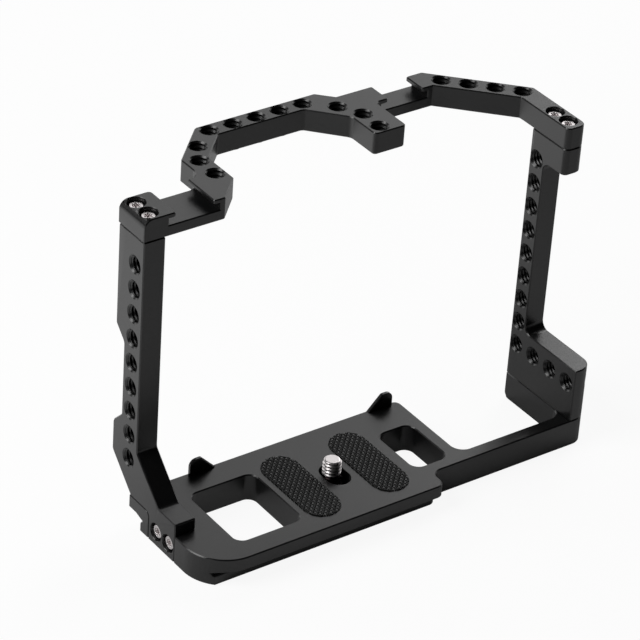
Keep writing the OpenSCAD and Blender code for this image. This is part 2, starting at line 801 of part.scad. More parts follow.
// The bridge's holes: leg, long arm, stub, and the 45 degree arm on the right
module bridge_holes() {
  side_x = hole_pitch * cos(60);
  side_y = hole_pitch * sin(60);
  stub_hole_x = stub_x + stub_hole_in;
  right_hole_x = cage_w - right_hole_left;
  first_y = cage_w + second_shoe_far - right_corner - right_hole_in * sqrt(2) - right_hole_x;
  bridge_bore(leg_hole_x, leg_hole_y);
  bridge_bore(leg_hole_x, leg_hole_y + hole_pitch);
  bridge_bore(leg_hole_x + side_x, leg_hole_y + hole_pitch + side_y);
  for (i = [0:arm_holes - 1]) bridge_bore(arm_hole_x + i * hole_pitch, cage_d - arm_hole_in);
  bridge_bore(stub_hole_x - side_x, stub_hole_y + hole_pitch + side_y);
  bridge_bore(stub_hole_x, stub_hole_y + hole_pitch);
  bridge_bore(stub_hole_x, stub_hole_y);
  for (i = [0:right_holes - 1]) translate([right_hole_x, first_y, 0]) rotate(-45)
    bridge_bore(i * hole_pitch, 0);
}

module left_top_screw_near() {
  placed() at_left_pair(-1) cap_screw(screw_l, head_sink);
}

module left_top_screw_far() {
  placed() at_left_pair(1) cap_screw(screw_l, head_sink);
}

module right_top_screw_near() {
  placed() at_right_pair(-1) cap_screw(screw_l, head_sink);
}

module right_top_screw_far() {
  placed() at_right_pair(1) cap_screw(screw_l, head_sink);
}

module left_foot_screw_near() {
  placed() at_foot_pair(-1) cap_screw(screw_l, foot_sink);
}

module left_foot_screw_far() {
  placed() at_foot_pair(1) cap_screw(screw_l, foot_sink);
}

module right_base_screw_near() {
  placed() at_base_screw(base_screw_near) cap_screw(base_screw_l, head_sink);
}

module right_base_screw_far() {
  placed() at_base_screw(base_screw_far) cap_screw(base_screw_l, head_sink);
}

base_plate();
left_post();
right_post();
top_bridge();
left_pad();
right_pad();
camera_screw();
retaining_ring();
left_top_screw_near();
left_top_screw_far();
right_top_screw_near();
right_top_screw_far();
left_foot_screw_near();
left_foot_screw_far();
right_base_screw_near();
right_base_screw_far();
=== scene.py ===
import math

import bmesh
import bpy
from mathutils import Matrix, Vector


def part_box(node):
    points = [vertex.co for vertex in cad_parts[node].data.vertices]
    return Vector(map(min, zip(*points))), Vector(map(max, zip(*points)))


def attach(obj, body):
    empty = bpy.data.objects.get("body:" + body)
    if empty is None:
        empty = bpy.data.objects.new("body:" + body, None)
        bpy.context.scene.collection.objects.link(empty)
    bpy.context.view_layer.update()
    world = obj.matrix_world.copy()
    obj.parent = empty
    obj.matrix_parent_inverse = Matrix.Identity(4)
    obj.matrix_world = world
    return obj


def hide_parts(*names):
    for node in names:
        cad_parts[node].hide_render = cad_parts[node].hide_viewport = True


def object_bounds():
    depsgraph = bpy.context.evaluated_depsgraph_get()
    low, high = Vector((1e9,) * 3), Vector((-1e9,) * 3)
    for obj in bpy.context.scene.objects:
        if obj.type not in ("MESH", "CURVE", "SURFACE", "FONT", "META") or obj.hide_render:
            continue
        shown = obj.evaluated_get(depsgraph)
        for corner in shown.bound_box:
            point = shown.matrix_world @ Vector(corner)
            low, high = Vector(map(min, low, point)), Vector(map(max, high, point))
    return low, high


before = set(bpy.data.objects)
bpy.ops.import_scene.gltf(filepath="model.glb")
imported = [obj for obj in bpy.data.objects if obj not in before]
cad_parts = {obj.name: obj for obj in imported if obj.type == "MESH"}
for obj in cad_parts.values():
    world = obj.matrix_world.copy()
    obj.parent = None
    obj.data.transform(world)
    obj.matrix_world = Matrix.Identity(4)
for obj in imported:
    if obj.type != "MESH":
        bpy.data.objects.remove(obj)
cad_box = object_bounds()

# Camera: a long lens that looks down on the cage's near left corner, as in the photograph.
# Its place and its aim come from the cage's own straight edges.
eye = Vector((-0.5560, -0.7160, 0.6337))
look = Vector((0.5102, 0.6702, -0.5390)).normalized()
side = Vector((0.8169, -0.5736, 0.0599))
side = (side - side.dot(look) * look).normalized()
aim = Matrix((side, side.cross(look), -look)).transposed()
camera_data = bpy.data.cameras.new("camera")
camera_data.sensor_width = 36.0
camera_data.lens = 184.2
camera_data.clip_end = 20.0
camera = bpy.data.objects.new("camera", camera_data)
camera.matrix_world = Matrix.Translation(eye) @ aim.to_4x4()
bpy.context.scene.collection.objects.link(camera)
bpy.context.scene.camera = camera
bpy.context.scene.view_settings.view_transform = "Standard"

# Studio: a pale seamless paper floor under the cage, evenly white where the camera sees it. In reflections it
# shows a painted pool of light, bright to the left and behind. A low white wall stands behind the cage, and the
# room in front of it is dark.
floor_drop = 0.0002
floor_mesh = bmesh.new()
bmesh.ops.create_grid(floor_mesh, x_segments=8, y_segments=8, size=4.0)
bmesh.ops.translate(floor_mesh, verts=floor_mesh.verts, vec=(0, 0, -floor_drop))
floor_data = bpy.data.meshes.new("studio_floor")
floor_mesh.to_mesh(floor_data)
floor_mesh.free()
floor = bpy.data.objects.new("studio_floor", floor_data)
bpy.context.scene.collection.objects.link(floor)
paper = bpy.data.materials.new("white_paper")
paper.use_nodes = True
tree = paper.node_tree
shader = tree.nodes["Principled BSDF"]
shader.inputs["Base Color"].default_value = (0.86, 0.86, 0.86, 1)
shader.inputs["Roughness"].default_value = 0.9
shader.inputs["Specular IOR Level"].default_value = 0.0
glow = tree.nodes.new("ShaderNodeEmission")
glow.inputs["Strength"].default_value = 1.12
to_eye = tree.nodes.new("ShaderNodeLightPath")
lift = tree.nodes.new("ShaderNodeMath")
lift.operation = "MULTIPLY"
lift.inputs[1].default_value = 0.82
# Painted light: in reflections the floor glows strongly to the left and behind and only faintly in front.
spot = tree.nodes.new("ShaderNodeTexCoord")
to_left_back = tree.nodes.new("ShaderNodeVectorMath")
to_left_back.operation = "DOT_PRODUCT"
to_left_back.inputs[1].default_value = (-0.60, 0.80, 0.0)
painted_light_pool = tree.nodes.new("ShaderNodeMapRange")
painted_light_pool.interpolation_type = "SMOOTHSTEP"
painted_light_pool.inputs["From Min"].default_value = -0.02
painted_light_pool.inputs["From Max"].default_value = 0.17
painted_light_pool.inputs["To Min"].default_value = 0.06
painted_light_pool.inputs["To Max"].default_value = 0.70
mirrored = tree.nodes.new("ShaderNodeMath")
mirrored.operation = "MULTIPLY_ADD"
shown = tree.nodes.new("ShaderNodeMixShader")
tree.links.new(spot.outputs["Object"], to_left_back.inputs[0])
tree.links.new(to_left_back.outputs["Value"], painted_light_pool.inputs["Value"])
tree.links.new(to_eye.outputs["Is Camera Ray"], lift.inputs[0])
tree.links.new(to_eye.outputs["Is Glossy Ray"], mirrored.inputs[0])
tree.links.new(painted_light_pool.outputs["Result"], mirrored.inputs[1])
tree.links.new(lift.outputs[0], mirrored.inputs[2])
tree.links.new(mirrored.outputs[0], shown.inputs["Fac"])
tree.links.new(shader.outputs["BSDF"], shown.inputs[1])
tree.links.new(glow.outputs["Emission"], shown.inputs[2])
tree.links.new(shown.outputs["Shader"], tree.nodes["Material Output"].inputs["Surface"])
floor_data.materials.append(paper)

world = bpy.data.worlds.new("studio")
bpy.context.scene.world = world
world.use_nodes = True
tree = world.node_tree
surround = tree.nodes["Background"]
surround.inputs["Color"].default_value = (1, 1, 1, 1)
rays = tree.nodes.new("ShaderNodeLightPath")
direction = tree.nodes.new("ShaderNodeTexCoord")
towards_back = tree.nodes.new("ShaderNodeVectorMath")
towards_back.operation = "DOT_PRODUCT"
towards_back.inputs[1].default_value = (0.60, 0.80, 0.0)
backdrop = tree.nodes.new("ShaderNodeMapRange")
backdrop.interpolation_type = "SMOOTHSTEP"
backdrop.inputs["From Min"].default_value = 0.20
backdrop.inputs["From Max"].default_value = 0.60
parts = tree.nodes.new("ShaderNodeSeparateXYZ")
low_wall = tree.nodes.new("ShaderNodeMapRange")
low_wall.interpolation_type = "SMOOTHSTEP"
low_wall.inputs["From Min"].default_value = 0.46
low_wall.inputs["From Max"].default_value = 0.26
low_wall.inputs["To Min"].default_value = 0.05
low_wall.inputs["To Max"].default_value = 1.2
around = tree.nodes.new("ShaderNodeMath")
around.operation = "MULTIPLY"
fill = tree.nodes.new("ShaderNodeMath")
fill.operation = "MULTIPLY"
fill.inputs[1].default_value = 0.05
by_gloss = tree.nodes.new("ShaderNodeMix")
by_gloss.data_type = "FLOAT"
seen = tree.nodes.new("ShaderNodeMath")
seen.operation = "MAXIMUM"
by_sight = tree.nodes.new("ShaderNodeMix")
by_sight.data_type = "FLOAT"
by_sight.inputs["B"].default_value = 1.0
tree.links.new(direction.outputs["Generated"], towards_back.inputs[0])
tree.links.new(towards_back.outputs["Value"], backdrop.inputs["Value"])
tree.links.new(direction.outputs["Generated"], parts.inputs["Vector"])
tree.links.new(parts.outputs["Z"], low_wall.inputs["Value"])
tree.links.new(backdrop.outputs["Result"], around.inputs[0])
tree.links.new(low_wall.outputs["Result"], around.inputs[1])
tree.links.new(around.outputs[0], fill.inputs[0])
tree.links.new(rays.outputs["Is Glossy Ray"], by_gloss.inputs["Factor"])
tree.links.new(fill.outputs[0], by_gloss.inputs["A"])
tree.links.new(around.outputs[0], by_gloss.inputs["B"])
tree.links.new(rays.outputs["Is Camera Ray"], seen.inputs[0])
tree.links.new(rays.outputs["Is Transmission Ray"], seen.inputs[1])
tree.links.new(seen.outputs[0], by_sight.inputs["Factor"])
tree.links.new(by_gloss.outputs["Result"], by_sight.inputs["A"])
tree.links.new(by_sight.outputs["Result"], surround.inputs["Strength"])


def softbox(name, place, size, watts):
    """A square diffuser panel that faces the middle of the cage."""
    light = bpy.data.lights.new(name, "AREA")
    light.shape = "SQUARE"
    light.size = size
    light.energy = watts
    lamp = bpy.data.objects.new(name, light)
    lamp.location = place
    towards = Vector((0, 0, 0.05)) - lamp.location
    lamp.rotation_euler = towards.to_track_quat("-Z", "Y").to_euler()
    lamp.visible_camera = False
    bpy.context.scene.collection.objects.link(lamp)


softbox("left_softbox", Vector((-0.70, 0.20, 0.72)), 0.55, 4.0)
softbox("far_softbox", Vector((1.00, 0.55, 0.70)), 0.5, 2.8)
softbox("top_softbox", Vector((0.50, 0.60, 0.75)), 0.6, 0.95)


# Base plate: milled from one block of aluminium, with its windows, rail and stepped slot.
# Every milled edge is broken with a small chamfer before the plate is blasted and anodised.
along_x = Vector((1, 0, 0))
along_y = Vector((0, 1, 0))
chamfer_w = 0.00035
chamfer_from = math.radians(50)
round_from = math.radians(1)
round_to = math.radians(30)
flat_from = 0.99999
flat_within = math.radians(0.4)
weld_dist = 0.000002
cut_slack = 0.0000001
pad_boxes = [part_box("left_pad"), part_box("right_pad")]
pocket_margin = 0.0003
strip_w = 0.0113


def whole_copy(node):
    """The node's shape as one closed mesh with its flat faces whole."""
    mesh = bmesh.new()
    mesh.from_mesh(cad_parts[node].data)
    bmesh.ops.remove_doubles(mesh, verts=mesh.verts, dist=weld_dist)
    bmesh.ops.dissolve_limit(mesh, angle_limit=flat_within, verts=mesh.verts, edges=mesh.edges)
    return mesh


def cut_across(mesh, point, outward, clear=False):
    """Cuts the whole mesh along a plane and, if asked, clears away what lies outside it."""
    geom = mesh.verts[:] + mesh.edges[:] + mesh.faces[:]
    bmesh.ops.bisect_plane(mesh, geom=geom, dist=cut_slack, plane_co=point, plane_no=outward, clear_outer=clear)


def bevel_edges(mesh, edges, width, steps):
    """Takes the edges off, with one flat or with a round of a few steps."""
    bmesh.ops.bevel(mesh, geom=edges, offset=width, offset_type="OFFSET", segments=steps, profile=0.5,
                    affect="EDGES", material=-1, clamp_overlap=False, loop_slide=True)


def break_edges(mesh, width, keep_sharp=lambda place: False):
    """Chamfers the sharp outer edges, apart from those that stay sharp, and cuts the big flat
    faces into strips, which are drawn cleanly whatever their outline."""
    sharp = [e for e in mesh.edges if e.is_manifold and e.is_convex and e.calc_face_angle() > chamfer_from
             and not keep_sharp((e.verts[0].co + e.verts[1].co) / 2)]
    bevel_edges(mesh, sharp, width, 1)
    for across in (along_x, along_y):
        reach = [v.co.dot(across) for v in mesh.verts]
        start = min(reach) + strip_w
        for i in range(int((max(reach) - start) / strip_w) + 1):
            cut_across(mesh, across * (start + i * strip_w), across)


def shade(piece):
    """Smooth round walls beside flat faces that stay flat, with a sharp rim round the level ones."""
    mesh = bmesh.new()
    mesh.from_mesh(piece.data)
    bmesh.ops.dissolve_degenerate(mesh, edges=mesh.edges, dist=weld_dist)
    mesh.normal_update()
    for face in mesh.faces:
        bends = [e.calc_face_angle() for e in face.edges if e.is_manifold]
        face.smooth = any(round_from < bend < round_to for bend in bends)
    level_rims = []
    for i, edge in enumerate(mesh.edges):
        level = [abs(face.normal.z) > flat_from for face in edge.link_faces]
        if any(level) and not all(level):
            level_rims.append(i)
    mesh.to_mesh(piece.data)
    mesh.free()
    piece.data.set_sharp_from_angle(angle=round_to)
    for i in level_rims:
        piece.data.edges[i].use_edge_sharp = True
    even = piece.modifiers.get("even_faces") or piece.modifiers.new("even_faces", "WEIGHTED_NORMAL")
    even.keep_sharp = True


def make_piece(name, mesh, material):
    """Turns the finished mesh into an object with its material and its shading."""
    data = bpy.data.meshes.new(name)
    mesh.to_mesh(data)
    mesh.free()
    data.materials.append(material)
    piece = bpy.data.objects.new(name, data)
    bpy.context.scene.collection.objects.link(piece)
    shade(piece)
    return piece


def stands_on(place):
    """True on the lowest edges, which are left sharp."""
    return place.z < pocket_margin


def unbroken(place):
    """True on the lowest edges and on the pads' pockets, whose edges fit the pads."""
    if stands_on(place):
        return True
    for low, high in pad_boxes:
        if low.x - pocket_margin < place.x < high.x + pocket_margin:
            if low.y - pocket_margin < place.y < high.y + pocket_margin:
                return place.z > low.z - pocket_margin
    return False


grain = bpy.data.node_groups.new("blasted_grain", "ShaderNodeTree")
grain.interface.new_socket("Grain Size", in_out="INPUT", socket_type="NodeSocketFloat")
grain.interface.new_socket("Tone", in_out="OUTPUT", socket_type="NodeSocketFloat")
grain.interface.new_socket("Pits", in_out="OUTPUT", socket_type="NodeSocketFloat")
grain_in = grain.nodes.new("NodeGroupInput")
grain_out = grain.nodes.new("NodeGroupOutput")
grain_place = grain.nodes.new("ShaderNodeTexCoord")
fine = grain.nodes.new("ShaderNodeTexNoise")
fine.inputs["Detail"].default_value = 3.0
fine.inputs["Roughness"].default_value = 0.6
cloud = grain.nodes.new("ShaderNodeTexNoise")
cloud.inputs["Scale"].default_value = 70.0
cloud.inputs["Detail"].default_value = 4.0
blend_tone = grain.nodes.new("ShaderNodeMix")
blend_tone.data_type = "FLOAT"
blend_tone.inputs["Factor"].default_value = 0.45
grain.links.new(grain_place.outputs["Object"], fine.inputs["Vector"])
grain.links.new(grain_place.outputs["Object"], cloud.inputs["Vector"])
grain.links.new(grain_in.outputs["Grain Size"], fine.inputs["Scale"])
grain.links.new(fine.outputs["Fac"], blend_tone.inputs["A"])
grain.links.new(cloud.outputs["Fac"], blend_tone.inputs["B"])
grain.links.new(blend_tone.outputs["Result"], grain_out.inputs["Tone"])
grain.links.new(fine.outputs["Fac"], grain_out.inputs["Pits"])

anodised = bpy.data.materials.new("black_anodised")
anodised.use_nodes = True
tree = anodised.node_tree
shader = tree.nodes["Principled BSDF"]
shader.inputs["Specular IOR Level"].default_value = 0.80
blast = tree.nodes.new("ShaderNodeGroup")
blast.node_tree = grain
blast.inputs["Grain Size"].default_value = 3500.0
black = tree.nodes.new("ShaderNodeMix")
black.data_type = "RGBA"
black.inputs["A"].default_value = (0.006, 0.006, 0.006, 1)
black.inputs["B"].default_value = (0.014, 0.014, 0.0145, 1)
satin = tree.nodes.new("ShaderNodeMapRange")
satin.inputs["To Min"].default_value = 0.25
satin.inputs["To Max"].default_value = 0.35
pits = tree.nodes.new("ShaderNodeBump")
pits.inputs["Strength"].default_value = 0.30
pits.inputs["Distance"].default_value = 0.00004
tree.links.new(blast.outputs["Tone"], black.inputs["Factor"])
tree.links.new(black.outputs["Result"], shader.inputs["Base Color"])
tree.links.new(blast.outputs["Tone"], satin.inputs["Value"])
tree.links.new(satin.outputs["Result"], shader.inputs["Roughness"])
tree.links.new(blast.outputs["Pits"], pits.inputs["Height"])
tree.links.new(pits.outputs["Normal"], shader.inputs["Normal"])

plate = whole_copy("base_plate")
break_edges(plate, chamfer_w, unbroken)
plate = make_piece("milled_base_plate", plate, anodised)
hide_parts("base_plate")
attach(plate, "cage")

# Posts: milled from aluminium. The left one bolts on with its foot, and the right one stands on
# the plate's cross arm. Their edges are broken first, and then their holes are drilled and
# countersunk.
corner = cad_box[0]
wall = 0.008
cage_w = 0.1596
bore_r = 0.003225
drilled_rim_r = 0.0034
rim_slack = 0.00002
plug_reach = 0.00345
drill_over = 0.0005
spin_steps = 32
spin_weld = 0.000001
hole_pitch = 0.00915
first_row_z = 0.0236
left_row_y = 0.04925
right_row_y = 0.0397
right_row_x = cage_w - wall / 2
left_rows = [Vector((wall / 2, left_row_y, first_row_z + i * hole_pitch)) for i in range(9)]
right_rows = [Vector((right_row_x, right_row_y, first_row_z + i * hole_pitch)) for i in range(9)]
right_rows += [Vector((right_row_x, right_row_y - i * hole_pitch, first_row_z)) for i in (1, 2, 3)]


def plug_holes(mesh, places, axis):
    """Closes the row of holes in the copy, so that the edges beside it can be broken first."""
    for place in places:
        centre = corner + place
        inner = []
        for face in mesh.faces:
            offsets = [v.co - centre for v in face.verts]
            if all(abs(o.dot(axis)) < wall and (o - axis * o.dot(axis)).length < plug_reach for o in offsets):
                inner.append(face)
        bmesh.ops.delete(mesh, geom=inner, context="FACES")
        for vert in mesh.verts:
            depth = (vert.co - centre).dot(axis)
            aside = (vert.co - centre - axis * depth).length
            if aside < plug_reach and abs(abs(depth) - wall / 2) < drilled_rim_r - bore_r + rim_slack:
                vert.co += axis * (math.copysign(wall / 2, depth) - depth)
    bmesh.ops.holes_fill(mesh, edges=[e for e in mesh.edges if e.is_boundary], sides=0)
    bmesh.ops.dissolve_limit(mesh, angle_limit=flat_within, verts=mesh.verts, edges=mesh.edges)


def add_copies(mesh, data, places, turned):
    """Adds a turned copy of the shape at every place."""
    for place in places:
        before = len(mesh.verts)
        mesh.from_mesh(data)
        mesh.verts.ensure_lookup_table()
        bmesh.ops.transform(mesh, matrix=Matrix.Translation(place) @ turned, verts=mesh.verts[before:])


def drill_holes(piece, places, turned):
    """Drills the row of holes right through, with a countersink at both faces."""
    drill = bmesh.new()
    half = wall / 2
    end = half + drill_over
    cone_r = drilled_rim_r + drill_over
    rim_step = drilled_rim_r - bore_r
    outline = [(0, end), (cone_r, end), (bore_r, half - rim_step),
               (bore_r, rim_step - half), (cone_r, -end), (0, -end)]
    chain = [drill.verts.new((r, 0, z)) for r, z in outline]
    edges = [drill.edges.new(chain[i:i + 2]) for i in range(len(chain) - 1)]
    bmesh.ops.spin(drill, geom=chain + edges, axis=(0, 0, 1), cent=(0, 0, 0),
                   angle=math.tau, steps=spin_steps, use_merge=True)
    bmesh.ops.remove_doubles(drill, verts=drill.verts, dist=spin_weld)
    bmesh.ops.recalc_face_normals(drill, faces=drill.faces)
    drill_data = bpy.data.meshes.new("drill")
    drill.to_mesh(drill_data)
    drill.clear()
    add_copies(drill, drill_data, [corner + place for place in places], turned)
    row_data = bpy.data.meshes.new("drill_row")
    drill.to_mesh(row_data)
    drill.free()
    row = bpy.data.objects.new("drill_row", row_data)
    bpy.context.scene.collection.objects.link(row)
    cut = piece.modifiers.new("cut", "BOOLEAN")
    cut.object = row
    cut.operation = "DIFFERENCE"
    cut.solver = "EXACT"
    piece.modifiers.move(piece.modifiers.find("cut"), 0)
    piece.modifiers["even_faces"].show_viewport = False
    ready = piece.evaluated_get(bpy.context.evaluated_depsgraph_get())
    cut_data = bpy.data.meshes.new_from_object(ready)
    cut_data.name = piece.name
    piece.modifiers.remove(cut)
    piece.modifiers["even_faces"].show_viewport = True
    piece.data = cut_data
    bpy.data.objects.remove(row)
    shade(piece)


through_post = Matrix.Rotation(math.radians(90), 4, "Y")
for node, rows in (("left_post", left_rows), ("right_post", right_rows)):
    post = whole_copy(node)
    plug_holes(post, rows, along_x)
    break_edges(post, chamfer_w, stands_on)
    post = make_piece("milled_" + node, post, anodised)
    drill_holes(post, rows, through_post)
    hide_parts(node)
    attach(post, "cage")

# Top bridge: one milled piece from the left block, over both cold shoes, to the right arm.
# Its four screw seats keep the rims that they were countersunk with.
straight_up = Vector((0, 0, 1))
top_z = 0.115
bridge_z = top_z - wall / 2
far_y = 0.0860
leg_x = 0.0352
leg_y = 0.0585
arm_x = 0.0486
arm_inset = 0.0036
stub_reach = 0.0652
stub_inset = 0.0044
stub_x = cage_w - stub_reach + stub_inset
stub_y = 0.05795
slant_far_y = 0.0808
slant_run = 0.027
slant_inset = 0.00365
slant_start = 0.0244
slant_start_y = slant_far_y - slant_run - slant_inset * math.sqrt(2) + slant_start
step_x = hole_pitch * math.cos(math.radians(60))
step_y = hole_pitch * math.sin(math.radians(60))
slant_step = Vector((math.sqrt(0.5), -math.sqrt(0.5), 0)) * hole_pitch
leg_row = [Vector((leg_x, leg_y, bridge_z)), Vector((leg_x, leg_y + hole_pitch, bridge_z)),
           Vector((leg_x + step_x, leg_y + hole_pitch + step_y, bridge_z))]
arm_row = [Vector((arm_x + i * hole_pitch, far_y - arm_inset, bridge_z)) for i in range(5)]
stub_row = [Vector((stub_x - step_x, stub_y + hole_pitch + step_y, bridge_z)),
            Vector((stub_x, stub_y + hole_pitch, bridge_z)), Vector((stub_x, stub_y, bridge_z))]
right_row = [Vector((cage_w - slant_start, slant_start_y, bridge_z)) + slant_step * i for i in range(4)]
bridge_rows = leg_row + arm_row + stub_row + right_row
seat_reach = 0.0037
seats = []
for node in ("left_top_screw_near", "left_top_screw_far", "right_top_screw_near", "right_top_screw_far"):
    low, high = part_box(node)
    seats.append((low + high) / 2)


def on_seat(place):
    """True on the rim of an assembly screw's seat."""
    return any(math.hypot(place.x - seat.x, place.y - seat.y) < seat_reach for seat in seats)


bridge = whole_copy("top_bridge")
plug_holes(bridge, bridge_rows, straight_up)
break_edges(bridge, chamfer_w, on_seat)
bridge = make_piece("milled_top_bridge", bridge, anodised)
drill_holes(bridge, bridge_rows, Matrix.Identity(4))
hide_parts("top_bridge")
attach(bridge, "cage")

# Accessory holes: tapped a quarter inch with twenty threads an inch, right through each wall.
# A countersink at both faces leads into the thread.
rim_r = 0.00338
throat_r = 0.00286
crest_r = 0.0026
root_r = 0.0033
throat_z = wall / 2 - rim_r + throat_r
thread_pitch = 0.00127
crest_half_w = thread_pitch / 14
lip_w = thread_pitch / 5
turns = 5
turn_steps = 24

hole = bmesh.new()
for face in (1, -1):
    rim = hole.verts.new((rim_r, 0, face * wall / 2))
    throat = hole.verts.new((throat_r, 0, face * throat_z))
    back = hole.verts.new((root_r, 0, face * (throat_z - lip_w)))
    loop = [hole.edges.new((rim, throat)), hole.edges.new((throat, back)), hole.edges.new((back, rim))]
    bmesh.ops.spin(hole, geom=[rim, throat, back] + loop, axis=(0, 0, 1), cent=(0, 0, 0),
                   angle=math.tau, steps=spin_steps, use_merge=True)
start = -turns * thread_pitch / 2
low = hole.verts.new((root_r, 0, start - thread_pitch / 2))
crest_low = hole.verts.new((crest_r, 0, start - crest_half_w))
crest_high = hole.verts.new((crest_r, 0, start + crest_half_w))
high = hole.verts.new((root_r, 0, start + thread_pitch / 2))
tooth = hole.faces.new((low, crest_low, crest_high, high))
bmesh.ops.spin(hole, geom=[tooth] + list(tooth.edges) + list(tooth.verts), axis=(0, 0, 1), cent=(0, 0, 0),
               dvec=(0, 0, thread_pitch / turn_steps), angle=math.tau * turns, steps=turn_steps * turns)
bmesh.ops.remove_doubles(hole, verts=hole.verts, dist=spin_weld)
bmesh.ops.recalc_face_normals(hole, faces=hole.faces)
hole_data = bpy.data.meshes.new("tapped_hole")
hole.to_mesh(hole_data)
hole.free()


def chamfer_limit(edge, outward, up):
    """The chamfer's plane on a wall's edge: a point of the edge, and the ways out of the metal."""
    return edge - outward * chamfer_w, (outward + up).normalized()


def tap_holes(name, places, turned, limits=()):
    """Cuts the thread ridges and the countersinks of a row of holes. Where a countersink runs
    into the wall's own chamfer or corner, it ends there."""
    row = bmesh.new()
    add_copies(row, hole_data, places, turned)
    for point, outward in limits:
        for vert in row.verts:
            vert.co -= outward * max((vert.co - point).dot(outward), 0)
    bmesh.ops.translate(row, verts=row.verts, vec=corner)
    threads = make_piece(name, row, anodised)
    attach(threads, "cage")


tap_holes("left_post_threads", left_rows, through_post)

column_far_y = 0.0432
block_near_y = 0.0078
block_corner_r = 0.0058
corner_inset = 0.0005
corner_steps = 10
block_centre = Vector((cage_w - block_corner_r, block_near_y + block_corner_r, 0))
column_edges = [chamfer_limit(Vector((cage_w, column_far_y, 0)), along_y, along_x),
                chamfer_limit(Vector((cage_w - wall, column_far_y, 0)), along_y, -along_x)]
round_corner = []
for i in range(corner_steps):
    angle = -math.pi / 2 * (i + 0.5) / corner_steps
    outward = Vector((math.cos(angle), math.sin(angle), 0))
    round_corner.append((block_centre + outward * (block_corner_r - corner_inset), outward))
tap_holes("right_post_threads", right_rows, through_post, column_edges + round_corner)

bottom_z = top_z - wall
leg_slant = Vector((-math.sqrt(0.5), math.sqrt(0.5), 0))
right_slant = Vector((math.sqrt(0.5), math.sqrt(0.5), 0))
leg_edge = Vector((0.0303, 0.0708, 0))
far_edge = Vector((0, far_y, 0))
right_edge = Vector((cage_w, slant_far_y - slant_run, 0))
for name, places, edge, outward in (
        ("bridge_leg_threads", leg_row, leg_edge, leg_slant),
        ("bridge_arm_threads", arm_row, far_edge, along_y),
        ("bridge_stub_threads", stub_row, far_edge, along_y),
        ("bridge_right_threads", right_row, right_edge, right_slant)):
    limits = [chamfer_limit(edge + straight_up * top_z, outward, straight_up),
              chamfer_limit(edge + straight_up * bottom_z, outward, -straight_up)]
    tap_holes(name, places, Matrix.Identity(4), limits)

# Grip pads: moulded rubber, set in the plate's shallow pockets beside the tripod screw. The
# waffle face is a diagonal grid of ridges with a small stud in each cell.
pad_top = 0.0105
pad_floor = 0.0092
pad_half_w = 0.0067
pad_half_l = 0.0181
sheet_w = 2.9 * pad_half_l
cell = 0.00162
ridge_w = 0.00050
pit_depth = 0.00040
pit_w = 0.00022
flank_w = 0.00006
round_steps = 12

rubber = bpy.data.materials.new("grip_rubber")
rubber.use_nodes = True
tree = rubber.node_tree
shader = tree.nodes["Principled BSDF"]
shader.inputs["Specular IOR Level"].default_value = 0.60
shader.inputs["Roughness"].default_value = 0.32
place = tree.nodes.new("ShaderNodeTexCoord")
parts = tree.nodes.new("ShaderNodeSeparateXYZ")
# Painted shade: the rubber's colour runs from near black at the bottom of the pits to grey on the ridges and
# studs.
height = tree.nodes.new("ShaderNodeMapRange")
height.inputs["From Min"].default_value = pad_top - pit_depth
height.inputs["From Max"].default_value = pad_top
painted_pit_shade = tree.nodes.new("ShaderNodeMix")
painted_pit_shade.data_type = "RGBA"
painted_pit_shade.inputs["A"].default_value = (0.003, 0.003, 0.003, 1)
painted_pit_shade.inputs["B"].default_value = (0.11, 0.11, 0.11, 1)
tree.links.new(place.outputs["Object"], parts.inputs["Vector"])
tree.links.new(parts.outputs["Z"], height.inputs["Value"])
tree.links.new(height.outputs["Result"], painted_pit_shade.inputs["Factor"])
tree.links.new(painted_pit_shade.outputs["Result"], shader.inputs["Base Color"])

for node in ("left_pad", "right_pad"):
    low_corner, high_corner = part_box(node)
    middle = (low_corner + high_corner) / 2
    pad = bmesh.new()
    cells = int(sheet_w / cell)
    bmesh.ops.create_grid(pad, x_segments=cells, y_segments=cells, size=cells * cell / 2)
    bmesh.ops.rotate(pad, verts=pad.verts, cent=(0, 0, 0), matrix=Matrix.Rotation(math.radians(45), 3, "Z"))
    cell_faces = pad.faces[:]
    for width, rise in ((ridge_w / 2, -pit_depth), (pit_w, 0), (flank_w, pit_depth)):
        bmesh.ops.inset_individual(pad, faces=cell_faces, thickness=width, depth=rise, use_even_offset=True)
    cuts = [(Vector((0, 0, 0)), along_x), (Vector((0, 0, 0)), -along_x)]
    for end in (1, -1):
        centre = Vector((0, end * (pad_half_l - pad_half_w), 0))
        for i in range(round_steps + 1):
            angle = math.pi * i / round_steps
            cuts.append((centre, Vector((math.cos(angle), end * math.sin(angle), 0))))
    for centre, outward in cuts:
        cut_across(pad, centre + outward * pad_half_w, outward, clear=True)
    bmesh.ops.translate(pad, verts=pad.verts, vec=(middle.x, middle.y, pad_top))
    border = [e for e in pad.edges if e.is_boundary]
    wall_geom = bmesh.ops.extrude_edge_only(pad, edges=border)["geom"]
    for vert in wall_geom:
        if isinstance(vert, bmesh.types.BMVert):
            vert.co.z = pad_floor
    bottom = [e for e in pad.edges if e.is_boundary]
    bmesh.ops.holes_fill(pad, edges=bottom, sides=0)
    bmesh.ops.recalc_face_normals(pad, faces=pad.faces)
    pad = make_piece("waffle_" + node, pad, rubber)
    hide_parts(node)
    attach(pad, "cage")
